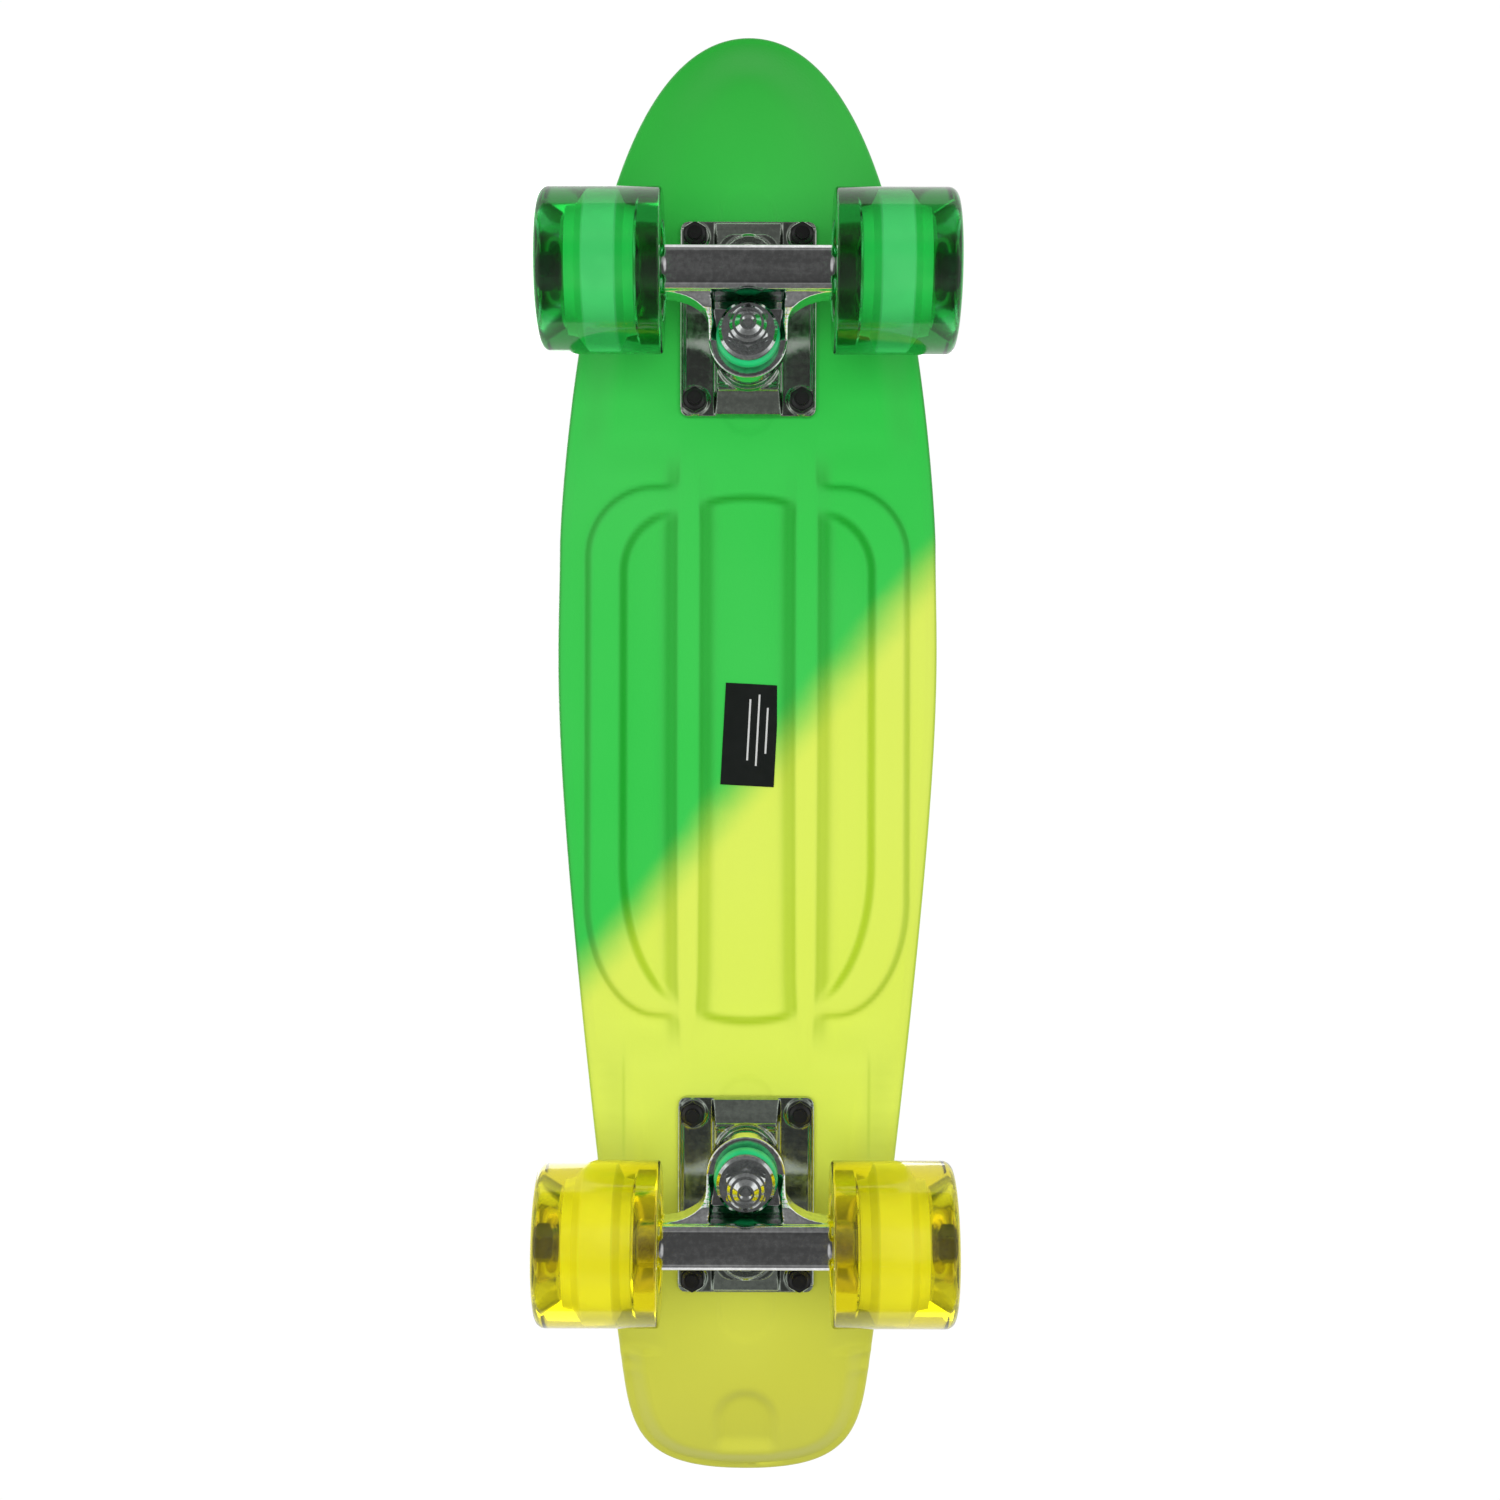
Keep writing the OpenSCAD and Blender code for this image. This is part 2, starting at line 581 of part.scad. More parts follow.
module rear_baseplate() color(cast) rear() baseplate_shape();
module rear_pivot_cup() color("ivory") rear() pivot_cup_shape();
module rear_kingpin() color(steel) rear() kingpin_shape();
module rear_kingpin_nut() color(steel) rear() kingpin_nut_shape();
module rear_board_washer() color(steel) rear() board_washer_shape();
module rear_board_bushing() color("seagreen") rear() board_bushing_shape();
module rear_road_bushing() color("seagreen") rear() road_bushing_shape();
module rear_road_washer() color(steel) rear() road_washer_shape();
module rear_hanger() color(cast) rear() hanger_shape();
module rear_axle() color(steel) rear() axle_shape();
module rear_axle_nuts() color(steel) rear() axle_nuts_shape();
module rear_speed_washers() color(steel) rear() speed_washers_shape();
module rear_bearing_spacers() color(steel) rear() spacers_shape();
module rear_inner_rings() color(steel) rear() inner_rings_shape();
module rear_mounting_bolts() color("black") rear() mounting_bolts_shape();
module rear_mounting_nuts() color("black") rear() mounting_nuts_shape();

module front_left_tyre() color("green") wheel(1, 1) tyre_shape();
module front_left_core() color("lightgreen") wheel(1, 1) core_shape();
module front_left_outer_rings() color("silver") wheel(1, 1) outer_rings_shape();
module front_left_shields() color("silver") wheel(1, 1) shields_shape();
module front_left_balls() color("silver") wheel(1, 1) balls_shape();
module front_left_cages() color("peru") wheel(1, 1) cages_shape();

module front_right_tyre() color("green") wheel(1, -1) tyre_shape();
module front_right_core() color("lightgreen") wheel(1, -1) core_shape();
module front_right_outer_rings() color("silver") wheel(1, -1) outer_rings_shape();
module front_right_shields() color("silver") wheel(1, -1) shields_shape();
module front_right_balls() color("silver") wheel(1, -1) balls_shape();
module front_right_cages() color("peru") wheel(1, -1) cages_shape();

module rear_left_tyre() color("gold") wheel(-1, 1) tyre_shape();
module rear_left_core() color("khaki") wheel(-1, 1) core_shape();
module rear_left_outer_rings() color("silver") wheel(-1, 1) outer_rings_shape();
module rear_left_shields() color("silver") wheel(-1, 1) shields_shape();
module rear_left_balls() color("silver") wheel(-1, 1) balls_shape();
module rear_left_cages() color("peru") wheel(-1, 1) cages_shape();

module rear_right_tyre() color("gold") wheel(-1, -1) tyre_shape();
module rear_right_core() color("khaki") wheel(-1, -1) core_shape();
module rear_right_outer_rings() color("silver") wheel(-1, -1) outer_rings_shape();
module rear_right_shields() color("silver") wheel(-1, -1) shields_shape();
module rear_right_balls() color("silver") wheel(-1, -1) balls_shape();
module rear_right_cages() color("peru") wheel(-1, -1) cages_shape();

deck();
blank_label();
front_baseplate();
front_pivot_cup();
front_kingpin();
front_kingpin_nut();
front_board_washer();
front_board_bushing();
front_road_bushing();
front_road_washer();
front_hanger();
front_axle();
front_axle_nuts();
front_speed_washers();
front_bearing_spacers();
front_inner_rings();
front_mounting_bolts();
front_mounting_nuts();
rear_baseplate();
rear_pivot_cup();
rear_kingpin();
rear_kingpin_nut();
rear_board_washer();
rear_board_bushing();
rear_road_bushing();
rear_road_washer();
rear_hanger();
rear_axle();
rear_axle_nuts();
rear_speed_washers();
rear_bearing_spacers();
rear_inner_rings();
rear_mounting_bolts();
rear_mounting_nuts();
front_left_tyre();
front_left_core();
front_left_outer_rings();
front_left_shields();
front_left_balls();
front_left_cages();
front_right_tyre();
front_right_core();
front_right_outer_rings();
front_right_shields();
front_right_balls();
front_right_cages();
rear_left_tyre();
rear_left_core();
rear_left_outer_rings();
rear_left_shields();
rear_left_balls();
rear_left_cages();
rear_right_tyre();
rear_right_core();
rear_right_outer_rings();
rear_right_shields();
rear_right_balls();
rear_right_cages();
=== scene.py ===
import math
import bpy
import numpy as np
from mathutils import Matrix, Vector


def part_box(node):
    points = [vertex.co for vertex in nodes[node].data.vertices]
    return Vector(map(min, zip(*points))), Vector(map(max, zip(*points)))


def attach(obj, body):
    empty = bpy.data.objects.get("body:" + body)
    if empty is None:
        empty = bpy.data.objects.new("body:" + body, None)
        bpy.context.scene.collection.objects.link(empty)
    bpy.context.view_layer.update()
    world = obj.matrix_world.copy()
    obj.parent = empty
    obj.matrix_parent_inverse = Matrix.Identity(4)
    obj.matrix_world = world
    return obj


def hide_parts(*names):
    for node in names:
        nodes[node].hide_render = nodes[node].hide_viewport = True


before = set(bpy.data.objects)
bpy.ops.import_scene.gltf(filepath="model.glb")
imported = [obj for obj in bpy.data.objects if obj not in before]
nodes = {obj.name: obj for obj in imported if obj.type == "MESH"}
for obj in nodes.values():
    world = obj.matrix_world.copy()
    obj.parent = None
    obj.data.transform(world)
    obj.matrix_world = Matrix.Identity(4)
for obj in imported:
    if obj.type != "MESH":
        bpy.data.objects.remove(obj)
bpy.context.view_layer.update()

mm = 0.001
wheelMiddle = (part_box("front_left_tyre")[0][1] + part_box("front_left_tyre")[1][1]) / 2

# ---------- small helpers ----------

def clearSelection():
    if bpy.context.object and bpy.context.object.mode != "OBJECT":
        bpy.ops.object.mode_set(mode="OBJECT")
    bpy.ops.object.select_all(action="DESELECT")


def pick(obj):
    clearSelection()
    obj.select_set(True)
    bpy.context.view_layer.objects.active = obj


def useModifier(obj, kind, **settings):
    pick(obj)
    mod = obj.modifiers.new(kind.lower(), kind)
    for key, value in settings.items():
        setattr(mod, key, value)
    bpy.ops.object.modifier_apply(modifier=mod.name)


def newObject(name, points, faces, smooth=True):
    mesh = bpy.data.meshes.new(name)
    mesh.from_pydata([tuple(p) for p in points], [], faces)
    mesh.update()
    obj = bpy.data.objects.new(name, mesh)
    bpy.context.scene.collection.objects.link(obj)
    if smooth:
        mesh.shade_smooth()
    return obj


def give(obj, body, slotName, finish, *cadNodes):
    obj.data.materials.clear()
    obj.data.materials.append(finish)
    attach(obj, body)
    if cadNodes:
        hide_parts(*cadNodes)


def smoothStep(a, b, x):
    t = np.clip((x - a) / (b - a), 0, 1)
    return t * t * (3 - 2 * t)


# ---------- shader helpers ----------

class Value:
    def __init__(self, finish, socket):
        self.finish, self.socket = finish, socket

    def sum(self, kind, a, b):
        return self.finish.node("ShaderNodeMath", {"operation": kind}, {0: a, 1: b})

    def __add__(self, other): return self.sum("ADD", self, other)
    def __radd__(self, other): return self.sum("ADD", other, self)
    def __sub__(self, other): return self.sum("SUBTRACT", self, other)
    def __mul__(self, other): return self.sum("MULTIPLY", self, other)
    def __rmul__(self, other): return self.sum("MULTIPLY", other, self)
    def __gt__(self, other): return self.sum("GREATER_THAN", self, other)
    def __lt__(self, other): return self.sum("LESS_THAN", self, other)
    def __abs__(self): return self.sum("ABSOLUTE", self, 0.0)


class Finish:
    def __init__(self, name, **shader):
        self.mat = bpy.data.materials.new(name)
        self.mat.use_nodes = True
        self.tree = self.mat.node_tree
        self.shader = self.tree.nodes["Principled BSDF"]
        for key, value in shader.items():
            self.shader.inputs[key.replace("_", " ")].default_value = value
        self.place = None

    def node(self, kind, settings=None, inputs=None, out=0):
        made = self.tree.nodes.new(kind)
        for key, value in (settings or {}).items():
            if key == "stops":
                ramp = made.color_ramp
                while len(ramp.elements) < len(value):
                    ramp.elements.new(1.0)
                for stop, (at, colour) in zip(ramp.elements, value):
                    stop.position, stop.color = at, colour
            else:
                setattr(made, key, value)
        for key, value in (inputs or {}).items():
            if isinstance(value, Value):
                self.tree.links.new(value.socket, made.inputs[key])
            else:
                made.inputs[key].default_value = value
        return Value(self, made.outputs[out])

    def coords(self):
        if self.place is None:
            self.place = self.node("ShaderNodeTexCoord", out="Object")
        return self.place

    def axes(self):
        made = self.tree.nodes.new("ShaderNodeSeparateXYZ")
        self.tree.links.new(self.coords().socket, made.inputs[0])
        return [Value(self, made.outputs[i]) for i in range(3)]

    def facingUp(self):
        # 1 where the surface faces straight up or down, 0 where it stands upright
        made = self.tree.nodes.new("ShaderNodeSeparateXYZ")
        self.tree.links.new(self.node("ShaderNodeTexCoord", out="Normal").socket, made.inputs[0])
        return abs(Value(self, made.outputs[2]))

    def noise(self, scale, detail=3.0, roughness=0.5, stretch=None):
        at = self.coords()
        if stretch:
            at = self.node("ShaderNodeMapping", None, {"Vector": at, "Scale": stretch})
        return self.node("ShaderNodeTexNoise", None,
                         {"Vector": at, "Scale": scale, "Detail": detail, "Roughness": roughness})

    def spread(self, value, low, high, toLow, toHigh):
        return self.node("ShaderNodeMapRange", {"interpolation_type": "SMOOTHSTEP"},
                         {"Value": value, "From Min": low, "From Max": high,
                          "To Min": toLow, "To Max": toHigh})

    def blend(self, factor, a, b):
        made = self.tree.nodes.new("ShaderNodeMix")
        made.data_type = "RGBA"
        for key, value in ((0, factor), (6, a), (7, b)):
            if isinstance(value, Value):
                self.tree.links.new(value.socket, made.inputs[key])
            else:
                made.inputs[key].default_value = value
        return Value(self, made.outputs[2])

    def feed(self, key, value):
        self.tree.links.new(value.socket, self.shader.inputs[key])

    def bump(self, height, strength, distance):
        self.feed("Normal", self.node("ShaderNodeBump", None,
                  {"Height": height, "Strength": strength, "Distance": distance}))


def shade(colour, share):
    return tuple(c * share for c in colour[:3]) + (1,)


def rgb(r, g, b):
    lin = [((c / 255 + 0.055) / 1.055) ** 2.4 if c > 10 else c / 255 / 12.92 for c in (r, g, b)]
    return (*lin, 1.0)


# ---------- camera, light and floor ----------

view = {"distance": 0.717, "padHeight": 0.0795, "x": 0.0006, "y": 0.0011, "roll": 0.16, "fieldOfView": 44.3}
camData = bpy.data.cameras.new("camera")
camData.sensor_fit = "HORIZONTAL"
camData.angle = math.radians(view["fieldOfView"])
camData.clip_start = 0.01
camera = bpy.data.objects.new("camera", camData)
bpy.context.scene.collection.objects.link(camera)
turn = Matrix(((0, 1, 0), (1, 0, 0), (0, 0, -1))) @ Matrix.Rotation(math.radians(view["roll"]), 3, "Z")
eye = (view["x"], view["y"], view["padHeight"] - view["distance"])
camera.matrix_world = Matrix.Translation(eye) @ turn.to_4x4()
bpy.context.scene.camera = camera
bpy.context.scene.view_settings.view_transform = "Standard"

light = {"front": 4.0, "side": 0.4, "top": 8.0, "ends": 0.25}
# brightness of the studio by height, from straight below to straight above
skySteps = ((0.0, 0.06), (0.04, 0.11), (0.10, 0.52), (0.25, 0.75), (0.42, 0.55), (0.5, 1.02))
world = bpy.data.worlds.new("studio")
bpy.context.scene.world = world
world.use_nodes = True
tree = world.node_tree
where = tree.nodes.new("ShaderNodeTexCoord")
split = tree.nodes.new("ShaderNodeSeparateXYZ")
ramp = tree.nodes.new("ShaderNodeValToRGB")
scale = tree.nodes.new("ShaderNodeMapRange")
tree.links.new(where.outputs["Generated"], split.inputs[0])
tree.links.new(split.outputs[2], scale.inputs["Value"])
scale.inputs["From Min"].default_value = -1.0
tree.links.new(scale.outputs[0], ramp.inputs[0])
while len(ramp.color_ramp.elements) < len(skySteps):
    ramp.color_ramp.elements.new(1.0)
for stop, (at, level) in zip(ramp.color_ramp.elements, skySteps):
    stop.position, stop.color = at, (level, level, level, 1)
# below the horizon the two ends of the studio are dimmer than its sides
endways = tree.nodes.new("ShaderNodeMath")
endways.operation = "ABSOLUTE"
tree.links.new(split.outputs[0], endways.inputs[0])
dim = tree.nodes.new("ShaderNodeMapRange")
dim.interpolation_type = "SMOOTHSTEP"
dim.inputs["From Min"].default_value, dim.inputs["From Max"].default_value = 0.3, 0.85
dim.inputs["To Min"].default_value, dim.inputs["To Max"].default_value = 1.0, light["ends"]
tree.links.new(endways.outputs[0], dim.inputs["Value"])
above = tree.nodes.new("ShaderNodeMath")
above.operation = "GREATER_THAN"
above.inputs[1].default_value = -0.01
tree.links.new(split.outputs[2], above.inputs[0])
share = tree.nodes.new("ShaderNodeMath")
share.operation = "MAXIMUM"
tree.links.new(dim.outputs[0], share.inputs[0])
tree.links.new(above.outputs[0], share.inputs[1])
tree.links.new(ramp.outputs[0], tree.nodes["Background"].inputs[0])
tree.links.new(share.outputs[0], tree.nodes["Background"].inputs[1])


def addLamp(name, place, target, size, power, mirrored=True):
    data = bpy.data.lights.new(name, "AREA")
    data.shape, data.size, data.size_y, data.energy = "RECTANGLE", size[0], size[1], power
    lamp = bpy.data.objects.new(name, data)
    bpy.context.scene.collection.objects.link(lamp)
    lamp.location = place
    lamp.rotation_euler = (Vector(target) - Vector(place)).to_track_quat("-Z", "Y").to_euler()
    lamp.visible_glossy = mirrored


addLamp("lampLeft", (0.05, -0.95, -0.35), (0, 0, 0.08), (1.1, 0.4), light["side"])
addLamp("lampRight", (0.05, 0.95, -0.35), (0, 0, 0.08), (1.1, 0.4), light["side"])
addLamp("lampFront", (0.0, 0.0, -0.62), (0, 0, 0.08), (0.5, 0.5), light["front"], mirrored=False)
addLamp("lampTop", (0.2, -0.3, 1.1), (0, 0, 0.05), (0.9, 0.9), light["top"])


def makeFloor():
    reach = 90
    corners = [(-reach, -reach, 0), (reach, -reach, 0), (reach, reach, 0), (-reach, reach, 0)]
    obj = newObject("floor", corners, [(0, 1, 2, 3)], smooth=False)
    paint = Finish("floorPaper", Base_Color=(0.86, 0.86, 0.86, 1), Roughness=0.9)
    seen = paint.tree.nodes.new("ShaderNodeNewGeometry")
    clear = paint.tree.nodes.new("ShaderNodeBsdfTransparent")
    mix = paint.tree.nodes.new("ShaderNodeMixShader")
    links = paint.tree.links
    links.new(seen.outputs["Backfacing"], mix.inputs[0])
    links.new(paint.shader.outputs[0], mix.inputs[1])
    links.new(clear.outputs[0], mix.inputs[2])
    links.new(mix.outputs[0], paint.tree.nodes["Material Output"].inputs[0])
    obj.data.materials.append(paint.mat)
    for ray in ("diffuse", "glossy", "shadow"):
        setattr(obj, "visible_" + ray, False)


makeFloor()
print("camera, light and floor ready")

# ---------- finishes ----------

green, yellow = rgb(50, 197, 74), rgb(217, 234, 88)


def deckFinish():
    f = Finish("deckPlastic", Roughness=0.42, Specular_IOR_Level=0.25)
    x, y = f.axes()[:2]
    wisps = f.noise(26.0, 4.0, 0.55, (1.0, 1.0, 0.3))
    # the two colours meet on a slant from one edge to the other
    slant = x - y * 1.18 + (wisps - 0.5) * 0.014
    mask = f.spread(slant, -0.031, 0.004, 0.0, 1.0)
    cloud = f.noise(9.0, 2.0)
    # painted shade: both paints darken towards their own end of the deck, standing in for the dimmer light
    # on the raised nose and tail
    tailShadedTone = f.blend(f.spread(x, -0.26, -0.13, 0.85, 0.0), yellow, rgb(212, 211, 66))
    noseShadedTone = f.blend(f.spread(x, 0.15, 0.26, 0.0, 0.8), green, rgb(40, 185, 54))
    both = f.blend(mask, tailShadedTone, noseShadedTone)
    # painted shade: steep flanks between the trucks get a deeper colour the further they turn from facing
    # up or down, standing in for the shade the ribs catch there
    flankShade = f.spread(f.facingUp(), 0.6, 0.995, 0.9, 0.0) * f.spread(abs(x), 0.14, 0.18, 1.0, 0.0)
    flankShadeColour = f.blend(mask, rgb(176, 205, 30), rgb(18, 160, 34))
    both = f.blend(flankShade, both, flankShadeColour)
    f.feed("Base Color", f.blend((cloud - 0.5) * 0.06 + 0.012, both, (1, 1, 1, 1)))
    grain = f.noise(900.0, 2.0)
    f.feed("Roughness", f.spread(cloud + grain * 0.4, 0.3, 1.1, 0.36, 0.48))
    f.bump(grain, 0.12, 0.0003)
    return f.mat


def metalFinish(name, colour, rough, scratch, grainScale, bump):
    f = Finish(name, Metallic=1.0, Base_Color=colour)
    fine = f.noise(grainScale, 5.0, 0.65)
    drag = f.noise(160.0, 4.0, 0.6, (1.0, 0.12, 1.0))
    mixed = fine * 0.5 + drag * 0.5
    f.feed("Roughness", f.spread(mixed, 0.35, 0.65, rough, rough + scratch))
    f.feed("Base Color", f.blend(f.spread(mixed, 0.38, 0.62, 0.0, 1.0), shade(colour, 0.7), colour))
    f.bump(mixed, bump, 0.0003)
    return f.mat


def plainFinish(name, colour, rough, bumpScale=700.0, bump=0.08, **more):
    f = Finish(name, **more)
    tone = f.noise(bumpScale * 0.2, 3.0)
    f.feed("Base Color", f.blend(f.spread(tone, 0.35, 0.65, 0.0, 1.0), shade(colour, 0.85), colour))
    f.feed("Roughness", f.spread(tone, 0.3, 0.7, rough, rough + 0.08))
    f.bump(f.noise(bumpScale, 3.0), bump, 0.0002)
    return f.mat


def clearFinish(name, colour):
    f = Finish(name, Transmission_Weight=1.0, IOR=1.5)
    cloud = f.noise(60.0, 2.0)
    f.feed("Base Color", f.blend(f.spread(cloud, 0.4, 0.6, 0.0, 1.0), shade(colour, 0.92), colour))
    f.feed("Roughness", f.spread(cloud, 0.3, 0.7, 0.07, 0.12))
    return f.mat


def coreFinish(name, flange, shoulder, glow):
    # painted glow: the core emits light as a stand-in for the light the clear tyre carries onto it, most of
    # all on its middle flange
    f = Finish(name, Emission_Strength=glow)
    y = f.axes()[1]
    middle = f.spread(abs(abs(y) - wheelMiddle), 0.0056, 0.0064, 1.0, 0.0)
    tone = f.blend(middle, shoulder, flange)
    cloud = f.noise(120.0, 3.0)
    f.feed("Base Color", f.blend((cloud - 0.5) * 0.1, tone, (1, 1, 1, 1)))
    paintedGlow = f.blend(middle, shade(shoulder, 0.6), shade(flange, 0.7))
    # painted shade on the glow: it fades where the surface stands upright instead of facing straight up or
    # down
    dim = f.spread(f.facingUp(), 0.1, 0.9, 0.6, 0.0)
    f.feed("Emission Color", f.blend(dim, paintedGlow, (0, 0, 0, 1)))
    f.feed("Roughness", f.spread(cloud, 0.3, 0.7, 0.35, 0.45))
    f.bump(f.noise(700.0, 3.0), 0.06, 0.0002)
    return f.mat


def labelFinish():
    f = Finish("labelFilm", Roughness=0.35)
    x0, y0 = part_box("blank_label")[0][:2]
    x1, y1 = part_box("blank_label")[1][:2]
    turned = f.node("ShaderNodeMapping", {"vector_type": "TEXTURE"},
                    {"Vector": f.coords(), "Location": ((x0 + x1) / 2, (y0 + y1) / 2, 0),
                     "Rotation": (0, 0, math.radians(3))})
    parts = f.tree.nodes.new("ShaderNodeSeparateXYZ")
    f.tree.links.new(turned.socket, parts.inputs[0])
    u, v = Value(f, parts.outputs[0]), Value(f, parts.outputs[1])
    bars = None
    for at, long in ((-0.0005, 0.012), (0.003, 0.014), (0.0065, 0.009)):
        bar = (abs(v - at) < 0.00035) * (abs(u - 0.002) < long)
        bars = bar if bars is None else bars + bar
    f.feed("Base Color", f.blend(bars, (0.006, 0.008, 0.007, 1), (0.6, 0.6, 0.6, 1)))
    f.feed("Roughness", f.spread(f.noise(300.0), 0.3, 0.7, 0.3, 0.42))
    return f.mat


finishes = {
    "deck": deckFinish(),
    "label": labelFinish(),
    "cast": metalFinish("castMetal", (0.93, 0.94, 0.94, 1), 0.06, 0.12, 500.0, 0.05),
    "plated": metalFinish("platedSteel", (0.93, 0.97, 0.96, 1), 0.07, 0.08, 900.0, 0.05),
    # painted shade: the baseplate gets a darker, green-tinted copy of the cast metal, standing in for the
    # shade and the green deck reflection it catches under the deck
    "castPlateShaded": metalFinish("castPlateShaded", (0.5, 0.56, 0.49, 1), 0.08, 0.12, 500.0, 0.05),
    "dull": metalFinish("dullSteel", (0.22, 0.23, 0.22, 1), 0.25, 0.15, 900.0, 0.1),
    "bearing": metalFinish("bearingSteel", (0.7, 0.7, 0.7, 1), 0.15, 0.1, 900.0, 0.05),
    "brass": metalFinish("cageBrass", (0.7, 0.5, 0.2, 1), 0.25, 0.1, 900.0, 0.05),
    "black": plainFinish("blackSteel", (0.012, 0.012, 0.012, 1), 0.3),
    "pivot": plainFinish("pivotPlastic", (0.7, 0.7, 0.66, 1), 0.5),
    "bushing": plainFinish("bushingGreen", rgb(30, 205, 125), 0.3),
    # the cores carry a painted glow of these strengths
    "coreGreen": coreFinish("coreGreen", (0.7, 0.97, 0.8, 1), (0.2, 0.9, 0.4, 1), 1.55),
    "coreYellow": coreFinish("coreYellow", (0.92, 0.95, 0.5, 1), (0.9, 0.92, 0.25, 1), 0.85),
    "tyreGreen": clearFinish("tyreGreen", rgb(17, 130, 44)),
    "tyreYellow": clearFinish("tyreYellow", rgb(224, 210, 10)),
}
nodeFinish = {
    "blank_label": "label", "kingpin": "plated", "kingpin_nut": "plated", "board_washer": "plated",
    "road_washer": "plated", "axle": "plated", "speed_washers": "plated", "bearing_spacers": "plated",
    "axle_nuts": "dull", "inner_rings": "bearing", "outer_rings": "bearing", "shields": "bearing",
    "balls": "bearing", "cages": "brass", "mounting_bolts": "black", "mounting_nuts": "black",
    "pivot_cup": "pivot", "board_bushing": "bushing", "road_bushing": "bushing", "baseplate": "castPlateShaded",
    "hanger": "cast", "deck": "deck", "core": "coreGreen", "tyre": "tyreGreen",
}
for name, obj in nodes.items():
    part = name
    for start in ("front_left_", "front_right_", "rear_left_", "rear_right_", "front_", "rear_"):
        if part.startswith(start):
            part = part[len(start):]
            break
    kind = nodeFinish[part]
    if name.startswith("rear") and kind in ("coreGreen", "tyreGreen"):
        kind = kind.replace("Green", "Yellow")
    for s in obj.material_slots:
        s.material = finishes[kind]
print("finishes ready")

# ---------- deck ----------

deckShape = {
    "length": 288.0, "width": 74.5, "top": 91.5, "noseRise": 20.0, "tailRise": 17.0,
    "rimRound": 3.0, "rimThick": 5.8, "thick": 12.0, "sideRib": 9.8, "pocket": 5.8, "panel": 5.8,
    "ribAt": 23.0, "ribHalf": 4.1, "stations": 400, "columns": 185, "topColumns": 26,
}


def bezier(a, b, c, d, n):
    t = np.linspace(0, 1, n, endpoint=False)[:, None]
    a, b, c, d = map(np.array, (a, b, c, d))
    return (1 - t) ** 3 * a + 3 * (1 - t) ** 2 * t * b + 3 * (1 - t) * t * t * c + t ** 3 * d


def deckOutline():
    # one half, from the tip of the nose by the widest part to the tip of the tail
    return np.vstack([
        bezier((288.0, 0), (288, 64), (93, 74), (81, 74), 500),
        bezier((81.0, 74), (28, 74), (16, 80.4), (-247, 48.2), 500),
        bezier((-247.0, 48.2), (-273.4, 45), (-288, 38.9), (-288, 0), 300), [(-288.0, 0)]])


def riseAt(x):
    d = deckShape
    return np.where(x > 200, d["noseRise"] * ((x - 200) / 88) ** 2,
                    np.where(x < -205, d["tailRise"] * ((x + 205) / 83) ** 2, 0.0))


def cornerDistance(x, y, nose, tail, halfWidth):
    # how far inside a closed curve with straight sides and elliptic ends a point lies
    x0, y0, a0, b0 = nose
    x1, y1, a1, b1 = tail
    y = np.abs(y)
    out = halfWidth - y
    for xc, yc, a, b, s in ((x0, y0, a0, b0, 1), (x1, y1, a1, b1, -1)):
        u = np.maximum(s * (x - xc), 0) / a
        v = np.maximum(y - yc, 0) / b
        f = np.sqrt(u * u + v * v) + 1e-9
        grad = np.sqrt((u / a) ** 2 + (v / b) ** 2) / f + 1e-9
        out = np.where(s * (x - xc) > 0, (1 - f) / grad, out)
    return out


